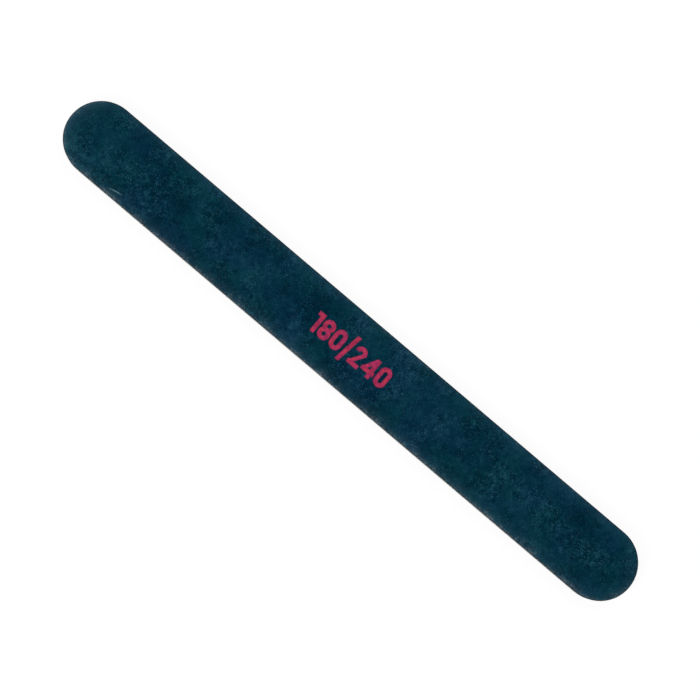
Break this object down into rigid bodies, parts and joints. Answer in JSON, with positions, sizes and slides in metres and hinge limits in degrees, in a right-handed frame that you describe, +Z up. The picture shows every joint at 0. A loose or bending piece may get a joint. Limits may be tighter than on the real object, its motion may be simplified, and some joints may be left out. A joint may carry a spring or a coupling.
{
  "type": "emery board",
  "caption": "Straight round-ended nail file: dark blue abrasive paper on foam cushions, both sides of a stiff plastic strip.",
  "frame": {"origin": "centre of the back face that the board rests on", "axes": "+X along the board, the way the printed numerals read; +Y across it, towards the tops of the numerals; +Z up, out of the printed front face"},
  "size_m": [0.18, 0.019, 0.0037],
  "materials": {
    "core_plastic": "die-cut polystyrene edge, satin",
    "tape": "thin double-sided adhesive tape, cut edge",
    "foam": "closed-cell foam, matt, fine open pores on the cut side",
    "backing_paper": "heavy latex paper, fibrous cut edge",
    "bond_resin": "dyed resin coat",
    "front_grit": "coarse mineral grains in dark blue resin, matt and rough",
    "back_grit": "fine mineral grains in dark blue resin, matt and rough",
    "print_ink": "crimson screen ink broken up by the grains"
  },
  "bodies": {
    "root": {"core_strip": "core_plastic", "front_core_tape": "tape", "back_core_tape": "tape", "front_foam_cushion": "foam", "back_foam_cushion": "foam", "front_paper_tape": "tape", "back_paper_tape": "tape", "front_backing_paper": "backing_paper", "back_backing_paper": "backing_paper", "front_bond_coat": "bond_resin", "back_bond_coat": "bond_resin", "front_grit_coat": "front_grit", "back_grit_coat": "back_grit", "grade_print": "print_ink"}
  },
  "joints": []
}
